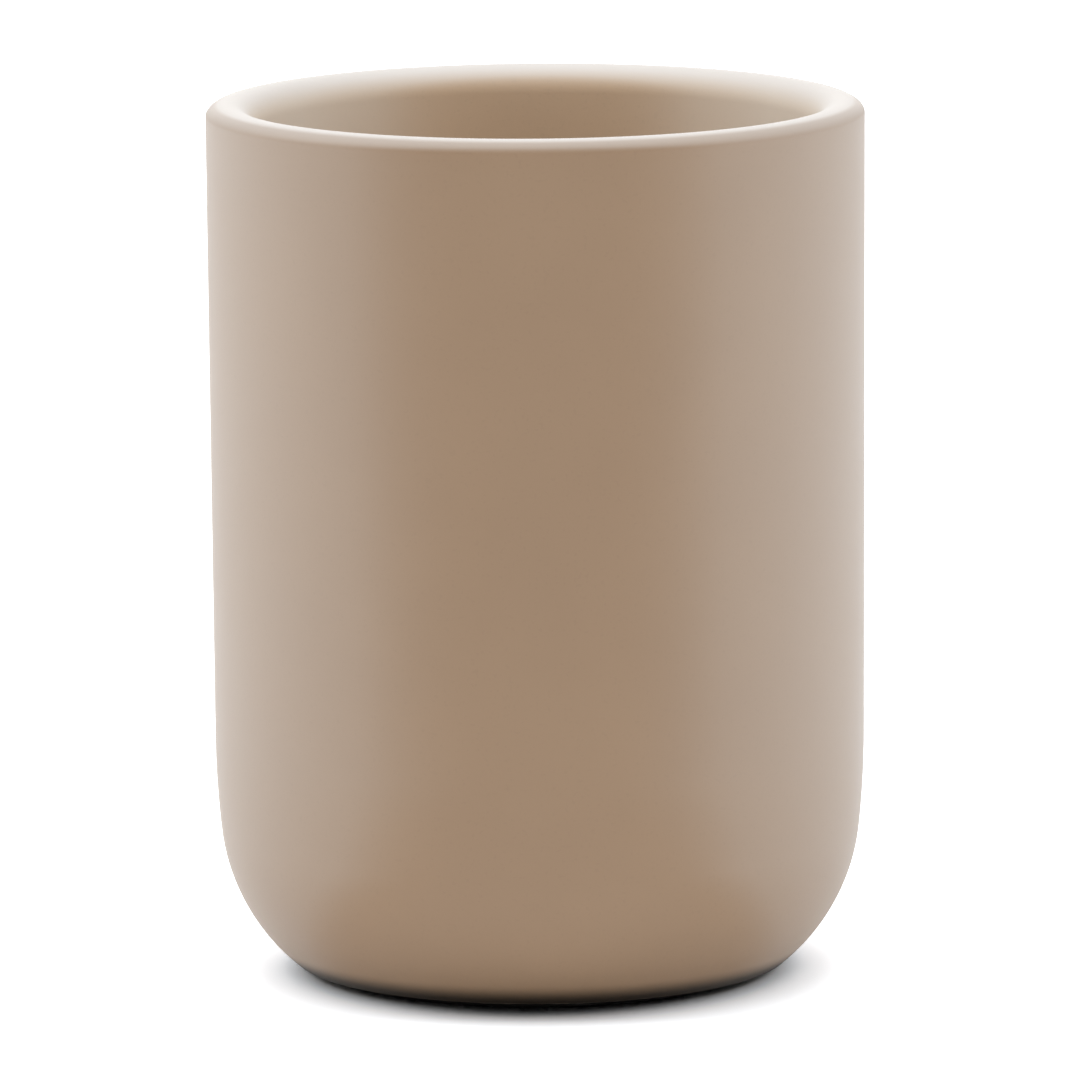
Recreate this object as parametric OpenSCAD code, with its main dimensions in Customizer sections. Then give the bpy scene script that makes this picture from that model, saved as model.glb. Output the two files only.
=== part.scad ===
// Bathroom tumbler: a thick-walled cup with a non-slip pad under its foot.
// Millimetres, +Z up. The origin is the centre of the pad's underside, where the cup stands.

/* [Body] */
// Outer diameter of the cup at its lip, where it is widest
outer_d = 78; // [70:1:90]
// Height of the cup itself, from its foot to the top of its lip
body_h = 103; // [85:1:125]
// Thickness of the wall
wall_t = 5.8; // [5:0.1:7]
// Lean of the wall from upright in degrees: the cup is a little narrower towards its foot
wall_lean = 0.25; // [0:0.05:0.8]

/* [Lip] */
// Width of the lip's outer rounding, from the outside to the crest
lip_outer_w = 2.5; // [1.5:0.1:3.5]
// Height of the lip's outer rounding
lip_outer_h = 1.6; // [1:0.1:3.5]
// Height of the lip's inner rounding, which is the larger of the two
lip_inner_h = 3.3; // [2:0.1:5]

/* [Lower edge] */
// Radius of the gentle arc that starts the curve under the wall
shoulder_r = 110; // [60:5:130]
// Slope in degrees at which the gentle arc gives way to the base arc
shoulder_turn = 6.2; // [4:0.1:9]
// Radius of the base arc
base_arc_r = 23.7; // [18:0.1:26]
// Slope in degrees at which the base arc meets the foot
base_turn = 51.2; // [44:0.1:58]
// Radius that softens the outer corner of the foot
foot_edge_r = 0.5; // [0.3:0.1:1.2]

/* [Inside] */
// Thickness of the floor, between the inside and the recess for the pad
floor_t = 6.5; // [5:0.1:9]
// Radius of the corner between the inside wall and the floor
inner_corner_r = 13; // [9:0.5:16]

/* [Foot and pad] */
// Width of the flat foot ring that surrounds the pad
foot_ring_w = 2.2; // [1.5:0.1:5]
// Thickness of the non-slip pad
pad_t = 2.2; // [1.5:0.1:3.5]
// How far the pad stands out below the foot ring
pad_proud = 0.9; // [0.5:0.1:1.2]
// Gap all round between the pad and the side of its recess
pad_clear = 0.3; // [0.2:0.05:0.8]
// Radius of the rounding along the pad's lower edge
pad_edge_r = 0.4; // [0.2:0.1:0.8]
// Thickness of the adhesive film between the pad and the cup
film_t = 0.2; // [0.1:0.05:0.4]
// How far the film stops short of the pad's edge
film_margin = 1; // [0.5:0.1:3]

/* [Grip grooves] */
// Number of ring grooves in the pad's underside
groove_count = 3; // [0:1:4]
// Width of a groove at the pad's underside
groove_w = 1.6; // [0.8:0.1:2.4]
// Depth of a groove
groove_depth = 0.5; // [0.2:0.1:0.8]

/* [Hidden] */
$fn = 180;

// Farthest that an arc may stand off the chords that draw it
arc_sag = 0.01;
// Length by which a cut runs past the face that it opens
overrun = 1;

// Heights above the surface that the cup stands on
foot_z = pad_proud;
top_z = foot_z + body_h;
recess_z = pad_t + film_t;
floor_z = recess_z + floor_t;

// Each arc below has its centre named by _x and _z, and meets the next one with no corner between them
outer_r = outer_d / 2;
lip_x = outer_r - lip_outer_w;
lip_outer_z = top_z - lip_outer_h;
lip_inner_w = wall_t - lip_outer_w;
lip_inner_z = top_z - lip_inner_h;
foot_edge_z = foot_z + foot_edge_r;
base_arc_z = foot_edge_z + (base_arc_r - foot_edge_r) * sin(base_turn);
shoulder_z = base_arc_z + (shoulder_r - base_arc_r) * sin(shoulder_turn);
shoulder_x = wall_r(shoulder_z - shoulder_r * sin(wall_lean)) - shoulder_r * cos(wall_lean);
base_arc_x = shoulder_x + (shoulder_r - base_arc_r) * cos(shoulder_turn);
foot_edge_x = base_arc_x + (base_arc_r - foot_edge_r) * cos(base_turn);
corner_z = floor_z + inner_corner_r;
corner_x = inside_r(corner_z - inner_corner_r * sin(wall_lean)) - inner_corner_r * cos(wall_lean);

// The pad fits inside the foot ring, and the film lies within the pad's edge
recess_r = foot_edge_x - foot_ring_w;
pad_r = recess_r - pad_clear;
film_r = pad_r - film_margin;
groove_pitch = pad_r / (groove_count + 1);

// Radius of the leaning outer wall at height z
function wall_r(z) = outer_r - (lip_outer_z - z) * tan(wall_lean);

// Radius of the inside wall at height z: it keeps the same lean, one wall thickness further in
function inside_r(z) = outer_r - wall_t - (lip_inner_z - z) * tan(wall_lean);

// Points of an arc about [x, z], from one angle to another, with half widths w and h
function arc(x, z, w, h, from, to) =
    let (widest_step = 2 * acos(1 - arc_sag / max(w, h)))
    let (steps = ceil(abs(to - from) / widest_step))
    [for (i = [0:steps]) let (a = from + (to - from) * i / steps) [x + w * cos(a), z + h * sin(a)]];

// The same points without the first, for an arc that goes on where another one ends
function onward(points) = [for (i = [1:len(points) - 1]) points[i]];

// Half outline of the cup, from the middle of the recess round the outside, over the lip and down the inside
module cup_outline() {
    polygon(concat(
        [[0, recess_z], [recess_r, recess_z], [recess_r, foot_z]],
        arc(foot_edge_x, foot_edge_z, foot_edge_r, foot_edge_r, -90, -base_turn),
        onward(arc(base_arc_x, base_arc_z, base_arc_r, base_arc_r, -base_turn, -shoulder_turn)),
        onward(arc(shoulder_x, shoulder_z, shoulder_r, shoulder_r, -shoulder_turn, -wall_lean)),
        arc(lip_x, lip_outer_z, lip_outer_w, lip_outer_h, 0, 90),
        onward(arc(lip_x, lip_inner_z, lip_inner_w, lip_inner_h, 90, 180)),
        arc(corner_x, corner_z, inner_corner_r, inner_corner_r, -wall_lean, -90),
        [[0, floor_z]]
    ));
}

// One ring groove in the pad's underside, a rounded trough centred at radius r
module grip_groove(r) {
    rotate_extrude()
        polygon(concat(
            [[r + groove_w / 2, -overrun]],
            arc(r, 0, groove_w / 2, groove_depth, 0, 180),
            [[r - groove_w / 2, -overrun]]
        ));
}

// The stoneware cup: one thick wall, open at the top, with a shallow recess under its foot
module cup_body() {
    color("#a08872")
        rotate_extrude() cup_outline();
}

// The dark disc that the cup stands on
module non_slip_pad() {
    color("#232120")
        difference() {
            rotate_extrude()
                polygon(concat(
                    [[0, 0]],
                    arc(pad_r - pad_edge_r, pad_edge_r, pad_edge_r, pad_edge_r, -90, 0),
                    [[pad_r, pad_t], [0, pad_t]]
                ));
            for (i = [1:1:groove_count]) grip_groove(i * groove_pitch);
        }
}

// The double-sided film between the pad and the ceiling of the recess
module pad_adhesive_film() {
    color("#d8d2c4")
        translate([0, 0, pad_t]) cylinder(r = film_r, h = film_t);
}

cup_body();
non_slip_pad();
pad_adhesive_film();
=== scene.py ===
# %% [markdown]
# # A soft-touch bathroom tumbler
#
# The tumbler is a thick cup of fired stoneware, sprayed with a matte, rubbery coat, on a dark
# non-slip pad. Its construction is already settled in CAD and packed as a fixed frame: three solids
# at their real size. This script dresses that frame: it makes smooth surfaces for the pieces that
# show, gives each one its finish, and sets up a camera, a pale floor and soft light.
#
# Lengths are in metres, +Z is up, and the origin is the middle of the pad's underside.

import math

import bpy
import numpy as np
from mathutils import Matrix, Vector


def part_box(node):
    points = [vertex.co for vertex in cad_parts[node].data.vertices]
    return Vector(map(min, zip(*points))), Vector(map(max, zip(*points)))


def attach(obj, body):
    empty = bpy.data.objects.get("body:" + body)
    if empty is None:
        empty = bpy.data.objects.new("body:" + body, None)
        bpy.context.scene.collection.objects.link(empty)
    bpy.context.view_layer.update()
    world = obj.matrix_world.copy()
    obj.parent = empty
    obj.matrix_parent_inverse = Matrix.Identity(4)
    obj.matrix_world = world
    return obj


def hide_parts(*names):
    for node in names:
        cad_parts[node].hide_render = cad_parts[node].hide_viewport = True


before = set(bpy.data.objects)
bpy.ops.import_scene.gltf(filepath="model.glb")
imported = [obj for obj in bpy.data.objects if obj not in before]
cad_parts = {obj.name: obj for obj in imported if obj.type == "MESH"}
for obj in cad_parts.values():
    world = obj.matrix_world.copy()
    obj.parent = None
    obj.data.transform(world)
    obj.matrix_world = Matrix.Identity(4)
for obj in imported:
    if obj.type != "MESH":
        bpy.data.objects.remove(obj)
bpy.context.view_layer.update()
MM = 0.001

# %% [markdown]
# ## The camera
#
# The picture is taken from well back with a long lens, a little above the tumbler, so the wall's
# two sides stay almost parallel and the lip shows as a flat ellipse. The distance, the height and
# the lens were found by fitting the tumbler's outline to the photograph. The camera leans by less
# than half a degree, as the photograph does.
#
# A camera is turned by its three axes: right, up and backwards. They are worked out from where it
# stands and what it looks at, and then turned by the lean.

# %% Camera
CAMERA_PLACE = Vector((0.0, -1.3484, 0.2698))
CAMERA_AIM = Vector((0.0002, 0.0, 0.05124))
CAMERA_LEAN = math.radians(0.43)
CAMERA_LENS = 382.9
SENSOR_WIDTH = 36.0
CAMERA_SEES = (0.01, 20.0)


def axes_of_view(place, aim, lean):
    """The camera's turn as three axes. Backwards is from aim to place, right is level, and up is
    square to both. Then right and up lean."""
    back = (place - aim).normalized()
    right = Vector((0, 0, 1)).cross(back).normalized()
    up = back.cross(right)
    leaning_right = right * math.cos(lean) - up * math.sin(lean)
    leaning_up = right * math.sin(lean) + up * math.cos(lean)
    return Matrix((leaning_right, leaning_up, back)).transposed()


camera_data = bpy.data.cameras.new("camera")
camera_data.lens = CAMERA_LENS
camera_data.sensor_width = SENSOR_WIDTH
camera_data.clip_start, camera_data.clip_end = CAMERA_SEES
camera = bpy.data.objects.new("camera", camera_data)
turn = axes_of_view(CAMERA_PLACE, CAMERA_AIM, CAMERA_LEAN)
camera.matrix_world = Matrix.Translation(CAMERA_PLACE) @ turn.to_4x4()
bpy.context.scene.collection.objects.link(camera)
bpy.context.scene.camera = camera
print("camera", round((CAMERA_PLACE - CAMERA_AIM).length, 3), "m from the tumbler")

# %% [markdown]
# ## Writing a finish as arithmetic
#
# A finish is a small network of nodes. Written node by node it is long and hard to read, so two
# small classes do the wiring. A `Signal` is one output of a node, and adding or multiplying signals
# adds the Math nodes for it. A `Finish` is a material being made: its method `node` takes a node's
# type, its settings and its sockets, and its other methods use that one.

# %% Signals and finishes
NOISE_DETAIL = 2.0


class Signal:
    """One output of a node. Arithmetic on signals adds Math nodes. In a sum, a difference or a
    product a plain number may stand on either side."""

    def __init__(self, finish, socket):
        self.finish, self.socket = finish, socket

    def math(self, operation, *values):
        sockets = dict(enumerate(values))
        return self.finish.node("ShaderNodeMath", {"operation": operation}, sockets)["Value"]

    def __add__(self, other):
        return self.math("ADD", self, other)

    def __sub__(self, other):
        return self.math("SUBTRACT", self, other)

    def __mul__(self, other):
        return self.math("MULTIPLY", self, other)

    def __rsub__(self, other):
        return self.math("SUBTRACT", other, self)

    def __truediv__(self, other):
        return self.math("DIVIDE", self, other)

    def __pow__(self, other):
        return self.math("POWER", self, other)

    __radd__ = __add__
    __rmul__ = __mul__

    def larger(self, other):
        return self.math("MAXIMUM", self, other)

    def smaller(self, other):
        return self.math("MINIMUM", self, other)

    def between(self, low, high, way="SMOOTHSTEP"):
        """0 below low, 1 above high, and a smooth or a LINEAR step from one to the other."""
        values = {"Value": self, "From Min": low, "From Max": high}
        return self.finish.node("ShaderNodeMapRange", {"interpolation_type": way}, values)["Result"]


class Finish:
    """A material or a world being made. node() adds a node, and sets or links its sockets."""

    def __init__(self, name, library=bpy.data.materials):
        self.made = library.new(name)
        self.made.use_nodes = True
        self.tree = self.made.node_tree
        self.tree.nodes.clear()

    def node(self, kind, settings=None, values=None):
        new = self.tree.nodes.new(kind)
        for name, setting in (settings or {}).items():
            setattr(new, name, setting)
        for name, value in (values or {}).items():
            if isinstance(name, int):
                socket = new.inputs[name]
            else:
                socket = next(s for s in new.inputs if s.name == name and s.enabled)
            if isinstance(value, Signal):
                self.tree.links.new(value.socket, socket)
            else:
                socket.default_value = value
        return {s.name: Signal(self, s) for s in new.outputs if s.enabled}

    def mix(self, share, first, second, way="MIX"):
        """A colour that goes from first to second as share goes from 0 to 1. In the MULTIPLY way it
        goes to first times second instead."""
        settings = {"data_type": "RGBA", "blend_type": way}
        values = {"Factor": share, "A": first, "B": second}
        return self.node("ShaderNodeMix", settings, values)["Result"]

    def noise(self, place, size, detail=NOISE_DETAIL):
        """Cloudy noise, about half on average, with lumps of that size in metres and finer ones by
        detail."""
        values = {"Vector": place, "Scale": 1.0 / size, "Detail": detail}
        return self.node("ShaderNodeTexNoise", None, values)["Fac"]

    def surface(self, shader, kind="ShaderNodeOutputMaterial"):
        """Makes the shader the outcome of the network, and gives back the material or the world."""
        self.node(kind, None, {"Surface": shader})
        return self.made


def blend(share, first, second):
    """A number that goes from first to second as share goes from 0 to 1."""
    return first + share * (second - first)


def principled(finish, colour, roughness, gloss, bump):
    """A plain surface with a colour, a roughness, a gloss and a fine relief."""
    values = {"Base Color": colour, "Roughness": roughness}
    values |= {"Specular IOR Level": gloss, "Normal": bump}
    return finish.node("ShaderNodeBsdfPrincipled", None, values)["BSDF"]


print("helpers ready: Signal, Finish, blend and principled")

# %% [markdown]
# ## Floor and surroundings
#
# The photograph is a cut-out on white: the floor is so bright that it shows as plain white, apart
# from a small soft shadow where the tumbler stands. A real white floor would show grey around the
# tumbler, because the tumbler hides half of the sky from it. So the floor has two colours. What the
# camera sees is a floor with a colour above white, which clips to white in the open and keeps its
# shadow under the tumbler. What lights the tumbler is the plain pale floor.
#
# Close to where a thing stands, the floor goes almost black. Ambient occlusion, which measures how
# much of the space above a point is filled by something near, darkens the floor that the camera
# sees more than the lamps alone would. It looks up and backwards, because the photograph's shadow
# is deepest in front of the tumbler.

# %% Floor
BLACK = (0.0, 0.0, 0.0, 1.0)
FLOOR_COLOUR = (0.95, 0.95, 0.95, 1.0)
FLOOR_SEEN_COLOUR = (1.66, 1.73, 1.81, 1.0)
FLOOR_HALF_WIDTH = 3.0
FLOOR_DROP = 0.02 * MM
CONTACT_REACH = 20 * MM
CONTACT_LOOKS = (0.0, 0.707, 0.707)
CONTACT_SAMPLES = 48
CONTACT_STEP = (0.172, 0.80)
CONTACT_POWER = 0.36


def seen_directly(finish):
    """1 for rays from the camera, in a mirror or through glass, and 0 for rays that carry light."""
    rays = finish.node("ShaderNodeLightPath")
    return rays["Is Camera Ray"].larger(rays["Is Glossy Ray"]).larger(rays["Is Transmission Ray"])


def floor_finish():
    """A plain pale floor for the light, and one that darkens near the tumbler for the camera."""
    finish = Finish("pale floor")
    looks = finish.node("ShaderNodeCombineXYZ", None, dict(enumerate(CONTACT_LOOKS)))["Vector"]
    values = {"Distance": CONTACT_REACH, "Normal": looks}
    settings = {"samples": CONTACT_SAMPLES}
    open_share = finish.node("ShaderNodeAmbientOcclusion", settings, values)["AO"]
    contact = open_share.between(*CONTACT_STEP, "LINEAR") ** CONTACT_POWER
    colour_seen = finish.mix(contact, BLACK, FLOOR_SEEN_COLOUR)
    lighting = finish.node("ShaderNodeBsdfDiffuse", None, {"Color": FLOOR_COLOUR})["BSDF"]
    seen = finish.node("ShaderNodeBsdfDiffuse", None, {"Color": colour_seen})["BSDF"]
    values = {0: seen_directly(finish), 1: lighting, 2: seen}
    return finish.surface(finish.node("ShaderNodeMixShader", None, values)["Shader"])


def make_floor():
    """A flat square, centred under the tumbler. It lies a hair below the pad, so that the two faces
    are never in the same place."""
    corners = np.array([(-1, -1), (1, -1), (1, 1), (-1, 1)]) * FLOOR_HALF_WIDTH
    points = np.column_stack([corners, np.full(len(corners), -FLOOR_DROP)])
    mesh = bpy.data.meshes.new("floor")
    mesh.from_pydata(points.tolist(), [], [(0, 1, 2, 3)])
    mesh.materials.append(floor_finish())
    floor = bpy.data.objects.new("floor", mesh)
    bpy.context.scene.collection.objects.link(floor)


make_floor()
bpy.context.scene.view_settings.view_transform = "Standard"
print("floor in place,", FLOOR_HALF_WIDTH * 2, "m wide")

# %% [markdown]
# ## Light
#
# The tumbler stands in soft light from all round, as in a white tent. Two large softboxes stand
# high at its sides: they brighten the wall towards its edges, and the left one is the stronger. A
# weak one in front, above the camera, evens out the middle of the wall. One straight overhead
# lights the lip and the bottom inside, and a low one behind gives the lip its bright line.
#
# A lamp's brightness is given here as its radiance, on a scale where white surroundings are 1,
# because that is what the coat answers to. Blender wants a lamp's power, which is pi times its area
# times its radiance.

# %% World and lamps
WHITE = (1.0, 1.0, 1.0, 1.0)
SKY_STRENGTH = 0.60
LAMPS = {
    "left": {"place": (-0.916, 0.08, 0.969), "width": 0.8, "height": 0.8, "radiance": 3.9},
    "right": {"place": (0.919, 0.0, 0.969), "width": 0.8, "height": 0.8, "radiance": 3.0},
    "front": {"place": (0.0, -1.148, 0.66), "width": 0.8, "height": 0.8, "radiance": 0.63},
    "overhead": {"place": (0.0, -0.01, 1.35), "width": 0.8, "height": 0.8, "radiance": 1.37},
    "behind": {"place": (0.0, 1.27, 0.32), "width": 0.8, "height": 0.4, "radiance": 2.2},
}
LAMP_AIM = Vector((0.0, 0.0, 0.05))


def make_sky():
    """White to look at and in reflections, and a plain soft light of SKY_STRENGTH on everything."""
    sky = Finish("white surroundings", bpy.data.worlds)
    strength = SKY_STRENGTH + seen_directly(sky) * (1 - SKY_STRENGTH)
    values = {"Color": WHITE, "Strength": strength}
    background = sky.node("ShaderNodeBackground", None, values)["Background"]
    bpy.context.scene.world = sky.surface(background, "ShaderNodeOutputWorld")


def make_lamp(name, place, width, height, radiance):
    """A flat rectangle of light that faces the tumbler."""
    data = bpy.data.lights.new(name, "AREA")
    data.shape = "RECTANGLE"
    data.size, data.size_y = width, height
    data.energy = math.pi * width * height * radiance
    lamp = bpy.data.objects.new(name, data)
    turn = axes_of_view(Vector(place), LAMP_AIM, 0.0)
    lamp.matrix_world = Matrix.Translation(place) @ turn.to_4x4()
    lamp.visible_camera = False
    bpy.context.scene.collection.objects.link(lamp)


make_sky()
for name, values in LAMPS.items():
    make_lamp(name, **values)
print("white surroundings at", SKY_STRENGTH, "and lamps:", ", ".join(LAMPS))

# %% [markdown]
# ## Surfaces turned about the axis
#
# Every piece here is round, as if turned on a wheel. So one function makes both the cup and the
# pad: it takes a half outline, a list of radius and height, and carries it once round the axis.

# %% Turning an outline
TURN_STEPS = 360
SAME_PLACE = 1e-7


def sine(degrees):
    return math.sin(math.radians(degrees))


def cosine(degrees):
    return math.cos(math.radians(degrees))


def arc(x, z, w, h, start, stop, steps):
    """Points on an ellipse about (x, z): x plus w times the cosine of an angle, z plus h times its
    sine. The angle goes from start to stop in degrees."""
    angle = np.radians(np.linspace(start, stop, steps + 1))
    return np.column_stack([x + w * np.cos(angle), z + h * np.sin(angle)])


def straight(start, stop, steps):
    """Points in even steps on the line from start to stop."""
    share = np.linspace(0, 1, steps + 1)[:, None]
    return np.array(start) * (1 - share) + np.array(stop) * share


def joined(*stretches):
    """One outline from several that meet end to end, with each shared point kept once."""
    points = np.vstack(stretches)
    apart = np.linalg.norm(np.diff(points, axis=0), axis=1) > SAME_PLACE
    return points[np.concatenate([[True], apart])]


def turned(name, outline, steps=TURN_STEPS):
    """The outline carried round the axis: x is radius times cosine, y is radius times sine, and z
    is height. It starts and ends on the axis, so each end closes in one point with a fan of
    triangles."""
    angle = np.arange(steps) * 2 * np.pi / steps
    radius, height = outline[1:-1].T
    x = radius[:, None] * np.cos(angle)
    y = radius[:, None] * np.sin(angle)
    z = np.repeat(height[:, None], steps, axis=1)
    rings = np.stack([x, y, z], axis=-1).reshape(-1, 3)
    ends = [(0, 0, outline[0, 1]), (0, 0, outline[-1, 1])]
    points = np.vstack([rings, ends])

    here = np.arange(steps)
    beside = (here + 1) % steps
    row = np.arange(len(radius) - 1)[:, None] * steps
    next_row = row + steps
    quads = np.stack([row + here, row + beside, next_row + beside, next_row + here], axis=-1)
    quads = quads.reshape(-1, 4)
    first, last = len(rings), len(rings) + 1
    last_row = (len(radius) - 1) * steps
    start_fan = np.stack([np.full(steps, first), beside, here], axis=-1)
    stop_fan = np.stack([np.full(steps, last), last_row + here, last_row + beside], axis=-1)

    mesh = bpy.data.meshes.new(name)
    mesh.from_pydata(points.tolist(), [], quads.tolist() + start_fan.tolist() + stop_fan.tolist())
    mesh.polygons.foreach_set("use_smooth", np.ones(len(mesh.polygons), dtype=bool))
    piece = bpy.data.objects.new(name, mesh)
    bpy.context.scene.collection.objects.link(piece)
    return piece


print("turning helper ready:", TURN_STEPS, "steps round")

# %% [markdown]
# ## The cup
#
# The cup is one thick wall with a fully rounded lip. Outside, the wall leans in by a quarter of a
# degree towards the foot, then a very gentle arc leads into the tighter arc of the lower edge,
# which meets the narrow foot ring at a slope. Inside, the same lean runs down to a rounded corner
# and a flat floor.
#
# The overall sizes are read from the frame, so the cup always fits it. The rest are the same named
# sizes as in CAD.

# %% Cup sizes
cup_low, cup_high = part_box("cup_body")
pad_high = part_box("non_slip_pad")[1]
film_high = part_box("pad_adhesive_film")[1]
OUTER_R = min(-cup_low.x, -cup_low.y, cup_high.x, cup_high.y)
FOOT_Z, TOP_Z = cup_low.z, cup_high.z
RECESS_Z = film_high.z
WALL_T = 5.8 * MM
WALL_LEAN = 0.25
LIP_OUTER_W, LIP_OUTER_H = 2.5 * MM, 1.6 * MM
LIP_INNER_H = 3.3 * MM
SHOULDER_R, SHOULDER_TURN = 110 * MM, 6.2
BASE_ARC_R, BASE_TURN = 23.7 * MM, 51.2
FOOT_EDGE_R = 0.5 * MM
FLOOR_T = 6.5 * MM
INNER_CORNER_R = 13 * MM
FOOT_RING_W = 2.2 * MM
PAD_CLEAR = 0.3 * MM

# How many steps each stretch of the outline is cut into
RECESS_STEPS, FOOT_STEPS, FOOT_EDGE_STEPS = 12, 2, 4
BASE_STEPS, SHOULDER_STEPS, WALL_STEPS, LIP_STEPS = 32, 12, 30, 16
INNER_CORNER_STEPS, FLOOR_STEPS = 20, 8
print("cup:", round(OUTER_R * 2 / MM, 1), "mm wide,", round((TOP_Z - FOOT_Z) / MM, 1), "mm high")

# %% Cup outline
def cup_outline():
    """Half outline of the cup: recess, foot ring, lower edge, wall, lip, inside wall, corner and
    floor. From the lower edge to the floor each stretch starts where the one before it ends, and in
    nearly the same direction."""
    slope = math.tan(math.radians(WALL_LEAN))
    lip_x, lip_z = OUTER_R - LIP_OUTER_W, TOP_Z - LIP_OUTER_H
    inner_lip_z = TOP_Z - LIP_INNER_H
    foot_edge_z = FOOT_Z + FOOT_EDGE_R
    base_z = foot_edge_z + (BASE_ARC_R - FOOT_EDGE_R) * sine(BASE_TURN)
    shoulder_z = base_z + (SHOULDER_R - BASE_ARC_R) * sine(SHOULDER_TURN)
    wall_end_z = shoulder_z - SHOULDER_R * sine(WALL_LEAN)
    shoulder_x = OUTER_R - (lip_z - wall_end_z) * slope - SHOULDER_R * cosine(WALL_LEAN)
    base_x = shoulder_x + (SHOULDER_R - BASE_ARC_R) * cosine(SHOULDER_TURN)
    foot_edge_x = base_x + (BASE_ARC_R - FOOT_EDGE_R) * cosine(BASE_TURN)
    recess_r = foot_edge_x - FOOT_RING_W
    floor_z = RECESS_Z + FLOOR_T
    corner_z = floor_z + INNER_CORNER_R
    inside_end_z = corner_z - INNER_CORNER_R * sine(WALL_LEAN)
    inside_end_r = OUTER_R - WALL_T - (inner_lip_z - inside_end_z) * slope
    corner_x = inside_end_r - INNER_CORNER_R * cosine(WALL_LEAN)
    outside_end = (shoulder_x + SHOULDER_R * cosine(WALL_LEAN), wall_end_z)
    lip_inner_w = WALL_T - LIP_OUTER_W
    return joined(
        straight((0, RECESS_Z), (recess_r, RECESS_Z), RECESS_STEPS),
        straight((recess_r, RECESS_Z), (recess_r, FOOT_Z), FOOT_STEPS),
        straight((recess_r, FOOT_Z), (foot_edge_x, FOOT_Z), FOOT_STEPS),
        arc(foot_edge_x, foot_edge_z, FOOT_EDGE_R, FOOT_EDGE_R, -90, -BASE_TURN, FOOT_EDGE_STEPS),
        arc(base_x, base_z, BASE_ARC_R, BASE_ARC_R, -BASE_TURN, -SHOULDER_TURN, BASE_STEPS),
        arc(shoulder_x, shoulder_z, SHOULDER_R, SHOULDER_R, -SHOULDER_TURN, -WALL_LEAN,
            SHOULDER_STEPS),
        straight(outside_end, (OUTER_R, lip_z), WALL_STEPS),
        arc(lip_x, lip_z, LIP_OUTER_W, LIP_OUTER_H, 0, 90, LIP_STEPS),
        arc(lip_x, inner_lip_z, lip_inner_w, LIP_INNER_H, 90, 180, LIP_STEPS),
        straight((OUTER_R - WALL_T, inner_lip_z), (inside_end_r, inside_end_z), WALL_STEPS),
        arc(corner_x, corner_z, INNER_CORNER_R, INNER_CORNER_R, -WALL_LEAN, -90,
            INNER_CORNER_STEPS),
        straight((corner_x, floor_z), (0, floor_z), FLOOR_STEPS),
    )


cup_profile = cup_outline()
cup = turned("cup", cup_profile)
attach(cup, "root")
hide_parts("cup_body")
print("cup outline has", len(cup_profile), "points")

# %% [markdown]
# ## The soft-touch coat
#
# The coat is a matte lacquer with a rubbery feel. Seen square on it shows its own warm beige. Seen
# at a slant it turns paler and greyer, like velvet or the skin of a peach. That paleness is a
# painted sheen, standing in for the light that skims along the coat's fine nap. So the coat is made
# of two plain surfaces, the lacquer and a pale painted sheen, and the slant decides how much of the
# painted sheen shows. The painted sheen is strongest inside, the lip gets a painted highlight at
# any slant, and the low curve that turns down, where less light falls, shows least of it.
#
# Inside, the coat is painted lighter: painted light where the lamps leave the inside in shade. In
# the last few millimetres above the foot the coat is painted almost black, a painted contact shade
# where the tumbler meets the floor. The flat foot ring and the recess under the foot are bare clay,
# because a sprayed piece stands on them while it dries. Up close no part has one even colour: faint
# clouds and fine specks show through the coat, and its sprayed grain is a few thousandths of a
# millimetre deep.
#
# The areas are told apart by where a point is and by the way the surface faces. The way it faces
# finds the inside without a list of radii: in there it faces the axis, and on the bottom it faces
# up.

# %% Areas of the cup
AXIS_GAP = 0.1 * MM
INSIDE_STEP = (0.4, 1.0)
LIP_STEP = (0.15, 0.95)
LIP_BAND = (TOP_Z - 8 * MM, TOP_Z - 5 * MM)
# Height band of the painted contact shade just above the foot.
PAINTED_FOOT_SHADE_BAND = (FOOT_Z + 0.3 * MM, FOOT_Z + 2.8 * MM)
BARE_STEP = (0.84, 0.88)
RAGGED_SIZE, RAGGED_SHARE = 1.5 * MM, 0.15
RECESS_R = pad_high.x + PAD_CLEAR
RECESS_STEP = (RECESS_R, RECESS_R + 0.2 * MM)
RECESS_BAND = (RECESS_Z + 0.1 * MM, RECESS_Z + 0.3 * MM)


def areas_of_cup(finish):
    """Signals from 0 to 1 that tell the cup's areas apart, and the place of the point in metres."""
    coordinates = finish.node("ShaderNodeTexCoord")
    place = coordinates["Object"]
    at = finish.node("ShaderNodeSeparateXYZ", None, {"Vector": place})
    faces = finish.node("ShaderNodeSeparateXYZ", None, {"Vector": coordinates["Normal"]})
    radius = ((at["X"] * at["X"] + at["Y"] * at["Y"]) ** 0.5).larger(AXIS_GAP)
    outward = (faces["X"] * at["X"] + faces["Y"] * at["Y"]) / radius
    height, upward = at["Z"], faces["Z"]
    downward = (upward * -1).larger(0.0)
    flat_below = (downward - finish.noise(place, RAGGED_SIZE) * RAGGED_SHARE).between(*BARE_STEP)
    recess = (1 - radius.between(*RECESS_STEP)) * (1 - height.between(*RECESS_BAND))
    return {
        "place": place,
        "inside": (upward - outward).between(*INSIDE_STEP),
        "lip": upward.between(*LIP_STEP) * height.between(*LIP_BAND),
        "downward": downward,
        # Painted contact shade in the last few millimetres above the foot.
        "painted_foot_shade": 1 - height.between(*PAINTED_FOOT_SHADE_BAND),
        "bare": flat_below.larger(recess),
    }


print("areas: inside, lip, downward, worn and bare")

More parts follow.
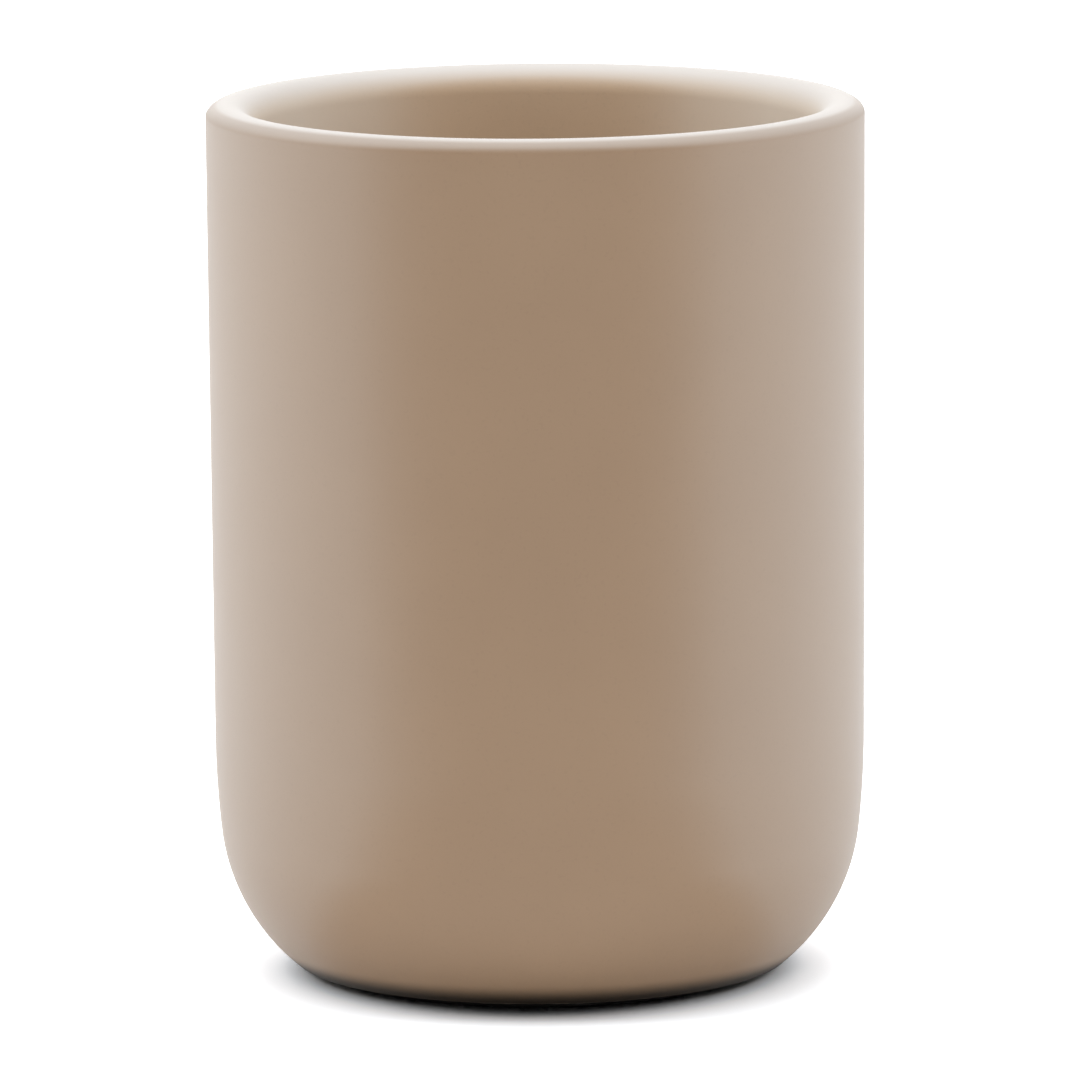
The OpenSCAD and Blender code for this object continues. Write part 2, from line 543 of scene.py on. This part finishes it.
# %% Soft-touch finish
COAT_COLOUR = (0.321, 0.216, 0.136, 1.0)
COAT_DEEP_COLOUR = (0.307, 0.205, 0.128, 1.0)
SPECK_COLOUR = (0.22, 0.15, 0.10, 1.0)
SPECK_SHARE = 0.12
# Painted light: how many times lighter the inside is painted than the coat outside.
INSIDE_PAINTED_LIGHT_GAIN = (1.70, 1.85, 2.00, 1.0)
# Painted contact shade: almost black just above the foot, at this share.
PAINTED_FOOT_SHADE_COLOUR = (0.020, 0.016, 0.012, 1.0)
PAINTED_FOOT_SHADE_SHARE = 0.95
CLAY_COLOUR = (0.43, 0.36, 0.29, 1.0)
COAT_ROUGHNESS, CLOUD_ROUGHNESS, CLAY_ROUGHNESS = 0.45, 0.05, 0.3
COAT_GLOSS = 0.3
CLOUD_SIZE, CLOUD_STEP = 22 * MM, (0.3, 0.7)
SPECK_SIZE, SPECK_DETAIL, SPECK_STEP = 0.45 * MM, 1.0, (0.60, 0.72)
CLAY_SPECK_SIZE, CLAY_SPECK_STEP = 0.7 * MM, (0.56, 0.66)
GRAIN_SIZE, GRAIN_DEPTH_IN_MM = 0.35 * MM, 0.006
RIPPLE_SIZE, RIPPLE_DEPTH_IN_MM = 3.5 * MM, 0.012
# Painted sheen: a pale colour shown at a slant, stronger inside and weaker where the surface turns
# down. The lip colour and lip shares are a painted highlight on the lip.
PAINTED_SHEEN_COLOUR = (0.63, 0.61, 0.59, 1.0)
PAINTED_SHEEN_INSIDE_COLOUR = (0.72, 0.665, 0.59, 1.0)
PAINTED_LIP_HIGHLIGHT_COLOUR = (0.68, 0.67, 0.66, 1.0)
PAINTED_SHEEN_ROUGHNESS, PAINTED_SHEEN_GLOSS = 0.9, 0.2
SLANT_BLEND = 0.5
PAINTED_SHEEN_SHARE, PAINTED_SHEEN_SHARE_INSIDE = 0.42, 1.10
PAINTED_SHEEN_SHARE_MOST = 0.68
PAINTED_LIP_HIGHLIGHT_OUTSIDE, PAINTED_LIP_HIGHLIGHT_INSIDE = 0.17, 0.45
PAINTED_SHEEN_CURVE, PAINTED_SHEEN_START = 0.6, (0.0, 0.2)
PAINTED_SHEEN_LOSS_BELOW = 0.86


def coat_colour(finish, area):
    """The lacquer's colour and roughness: clouds and specks, painted light that makes the inside
    lighter, painted contact shade just above the foot, and clay where it is bare."""
    place = area["place"]
    clouds = finish.noise(place, CLOUD_SIZE).between(*CLOUD_STEP)
    specks = finish.noise(place, SPECK_SIZE, SPECK_DETAIL).between(*SPECK_STEP)
    coat = finish.mix(clouds, COAT_DEEP_COLOUR, COAT_COLOUR)
    coat = finish.mix(specks * SPECK_SHARE, coat, SPECK_COLOUR)
    # Painted light: the inside is painted lighter.
    coat = finish.mix(area["inside"], coat, INSIDE_PAINTED_LIGHT_GAIN, "MULTIPLY")
    # Painted contact shade: near black just above the foot.
    coat = finish.mix(area["painted_foot_shade"] * PAINTED_FOOT_SHADE_SHARE, coat, PAINTED_FOOT_SHADE_COLOUR)
    clay_specks = finish.noise(place, CLAY_SPECK_SIZE).between(*CLAY_SPECK_STEP)
    clay = finish.mix(clay_specks, CLAY_COLOUR, SPECK_COLOUR)
    roughness = COAT_ROUGHNESS + clouds * CLOUD_ROUGHNESS + area["bare"] * CLAY_ROUGHNESS
    return finish.mix(area["bare"], coat, clay), roughness


def painted_sheen_share(finish, area):
    """How much of the painted sheen shows, from 0 to 1. The slant is 1 - cosine of the angle
    between the view and straight on, less a loss where the surface turns down and less light falls.
    The share is the slant to a set power, with a soft start, times the area's own share, and no
    more than a set most. The lip adds a painted highlight at any slant, and the painted foot shade
    and the bare parts have none."""
    slant = finish.node("ShaderNodeLayerWeight", None, {"Blend": SLANT_BLEND})["Facing"]
    # Less painted sheen where the surface turns down and less light falls on it.
    painted_sheen = (slant - area["downward"] * PAINTED_SHEEN_LOSS_BELOW).larger(0.0)
    bloom = painted_sheen ** PAINTED_SHEEN_CURVE * painted_sheen.between(*PAINTED_SHEEN_START)
    wall = (bloom * blend(area["inside"], PAINTED_SHEEN_SHARE, PAINTED_SHEEN_SHARE_INSIDE)).smaller(PAINTED_SHEEN_SHARE_MOST)
    # The lip gets a painted highlight at any slant.
    lip = area["lip"] * blend(area["inside"], PAINTED_LIP_HIGHLIGHT_OUTSIDE, PAINTED_LIP_HIGHLIGHT_INSIDE)
    return (wall + lip * (1 - wall)) * (1 - area["bare"]) * (1 - area["painted_foot_shade"])


def soft_touch_finish():
    """The lacquer and a pale painted sheen, mixed by how much of the painted sheen shows."""
    finish = Finish("soft touch coat")
    area = areas_of_cup(finish)
    grain = finish.noise(area["place"], GRAIN_SIZE) * GRAIN_DEPTH_IN_MM
    ripples = finish.noise(area["place"], RIPPLE_SIZE) * RIPPLE_DEPTH_IN_MM
    values = {"Distance": MM, "Height": grain + ripples}
    bump = finish.node("ShaderNodeBump", None, values)["Normal"]
    colour, roughness = coat_colour(finish, area)
    lacquer = principled(finish, colour, roughness, COAT_GLOSS, bump)
    # Colour of the painted sheen, warmer inside, and of the painted highlight on the lip.
    colour = finish.mix(area["inside"], PAINTED_SHEEN_COLOUR, PAINTED_SHEEN_INSIDE_COLOUR)
    colour = finish.mix(area["lip"], colour, PAINTED_LIP_HIGHLIGHT_COLOUR)
    painted_sheen = principled(finish, colour, PAINTED_SHEEN_ROUGHNESS, PAINTED_SHEEN_GLOSS, bump)
    values = {0: painted_sheen_share(finish, area), 1: lacquer, 2: painted_sheen}
    return finish.surface(finish.node("ShaderNodeMixShader", None, values)["Shader"])


cup.data.materials.append(soft_touch_finish())
print("soft-touch coat on the cup")

# %% [markdown]
# ## The non-slip pad
#
# The pad is a disc of dark rubber, stuck into the recess under the foot. Its lower edge is rounded,
# and three ring grooves in its underside let it grip a wet counter. In the picture only its edge
# shows, as the dark line that the tumbler stands on, but the underside is there for whoever turns
# the tumbler over.
#
# The pad could be a cylinder with grooves cut by a Boolean. It is turned from an outline instead,
# as the cup is, because the grooves are then clean rings with rounded lips.

# %% Pad outline
PAD_R = pad_high.x
PAD_TOP_Z = pad_high.z
PAD_EDGE_R = 0.4 * MM
GROOVE_COUNT = 3
GROOVE_W, GROOVE_DEPTH = 1.6 * MM, 0.5 * MM
GROOVE_LIP_W = 0.3 * MM
GROOVE_SHAPE = 0.75
UNDERSIDE_STEPS, PAD_EDGE_STEPS, PAD_SIDE_STEPS, PAD_TOP_STEPS = 240, 10, 4, 8
PAD_TURN_STEPS = 180


def groove_height(radius):
    """Height of the pad's underside. It is zero, and in each ring groove GROOVE_DEPTH times
    (1 - across squared) to the power GROOVE_SHAPE. Across goes from 0 in the groove's middle to 1
    at its lips."""
    pitch = PAD_R / (GROOVE_COUNT + 1)
    nearest = np.clip(np.round(radius / pitch), 1, GROOVE_COUNT) * pitch
    across = np.abs(radius - nearest) / (GROOVE_W / 2 + GROOVE_LIP_W / 2)
    return GROOVE_DEPTH * np.clip(1 - across ** 2, 0, 1) ** GROOVE_SHAPE


def pad_outline():
    """Half outline of the pad: grooved underside, rounded lower edge, side and top."""
    radius = np.linspace(0, PAD_R - PAD_EDGE_R, UNDERSIDE_STEPS + 1)
    underside = np.column_stack([radius, groove_height(radius)])
    return joined(
        underside,
        arc(PAD_R - PAD_EDGE_R, PAD_EDGE_R, PAD_EDGE_R, PAD_EDGE_R, -90, 0, PAD_EDGE_STEPS),
        straight((PAD_R, PAD_EDGE_R), (PAD_R, PAD_TOP_Z), PAD_SIDE_STEPS),
        straight((PAD_R, PAD_TOP_Z), (0, PAD_TOP_Z), PAD_TOP_STEPS),
    )


pad_profile = pad_outline()
pad = turned("non_slip_pad_rubber", pad_profile, PAD_TURN_STEPS)
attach(pad, "root")
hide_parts("non_slip_pad")
print("pad:", round(PAD_R * 2 / MM, 1), "mm wide,", GROOVE_COUNT, "grooves")

# %% [markdown]
# ## Rubber
#
# The rubber is a very dark warm grey with a dull surface. Its skin is finely pebbled, as the mould
# leaves it, and faint clouds of pale chalk lie on it.

# %% Rubber finish
RUBBER_COLOUR = (0.018, 0.017, 0.016, 1.0)
RUBBER_CHALK_COLOUR = (0.060, 0.057, 0.053, 1.0)
RUBBER_ROUGHNESS, CHALK_ROUGHNESS = 0.68, 0.15
RUBBER_GLOSS = 0.2
CHALK_SIZE, CHALK_DETAIL, CHALK_STEP = 6 * MM, 5.0, (0.50, 0.75)
PEBBLE_SIZE, PEBBLE_DEPTH, PEBBLE_STRENGTH = 0.45 * MM, 0.05 * MM, 0.6


def rubber_finish():
    """Dark rubber with a pebbled skin, and chalk where the clouds are thick."""
    finish = Finish("dark rubber")
    place = finish.node("ShaderNodeTexCoord")["Object"]
    values = {"Vector": place, "Scale": 1 / PEBBLE_SIZE}
    pebbles = finish.node("ShaderNodeTexVoronoi", None, values)["Distance"]
    chalk = finish.noise(place, CHALK_SIZE, CHALK_DETAIL).between(*CHALK_STEP)
    values = {"Strength": PEBBLE_STRENGTH, "Distance": PEBBLE_DEPTH, "Height": 1 - pebbles}
    bump = finish.node("ShaderNodeBump", None, values)["Normal"]
    colour = finish.mix(chalk, RUBBER_COLOUR, RUBBER_CHALK_COLOUR)
    roughness = RUBBER_ROUGHNESS + chalk * CHALK_ROUGHNESS
    return finish.surface(principled(finish, colour, roughness, RUBBER_GLOSS, bump))


pad.data.materials.append(rubber_finish())
print("rubber on the pad")

# %% [markdown]
# ## The adhesive film
#
# The film is the double-sided sheet that holds the pad to the cup. It is flat, so the solid from
# the frame keeps its shape and only gets its finish: a satin, off-white tissue with long fibres
# pressed into the glue.

# %% Film finish
FILM_COLOUR = (0.68, 0.64, 0.56, 1.0)
FILM_FIBRE_COLOUR = (0.78, 0.76, 0.70, 1.0)
FIBRE_SIZE, FIBRE_DETAIL, FIBRE_STEP = 0.9 * MM, 4.0, (0.52, 0.60)
FIBRE_STRETCH = 9.0
FIBRE_DEPTH, FIBRE_STRENGTH = 0.02 * MM, 0.4
FILM_ROUGHNESS, FIBRE_ROUGHNESS = 0.38, 0.2
FILM_GLOSS = 0.5


def film_finish():
    """Off-white tissue. Its fibres are noise that is FIBRE_STRETCH times as long in x as in y."""
    finish = Finish("adhesive film")
    place = finish.node("ShaderNodeTexCoord")["Object"]
    values = {"Vector": place, "Scale": (1.0, FIBRE_STRETCH, 1.0)}
    along = finish.node("ShaderNodeMapping", None, values)["Vector"]
    fibres = finish.noise(along, FIBRE_SIZE * FIBRE_STRETCH, FIBRE_DETAIL).between(*FIBRE_STEP)
    values = {"Strength": FIBRE_STRENGTH, "Distance": FIBRE_DEPTH, "Height": fibres}
    bump = finish.node("ShaderNodeBump", None, values)["Normal"]
    colour = finish.mix(fibres, FILM_COLOUR, FILM_FIBRE_COLOUR)
    roughness = FILM_ROUGHNESS + fibres * FIBRE_ROUGHNESS
    return finish.surface(principled(finish, colour, roughness, FILM_GLOSS, bump))


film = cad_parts["pad_adhesive_film"]
film_material = film_finish()
for slot in film.material_slots:
    slot.material = film_material
print("tissue finish on the film:", len(film.material_slots), "slot")
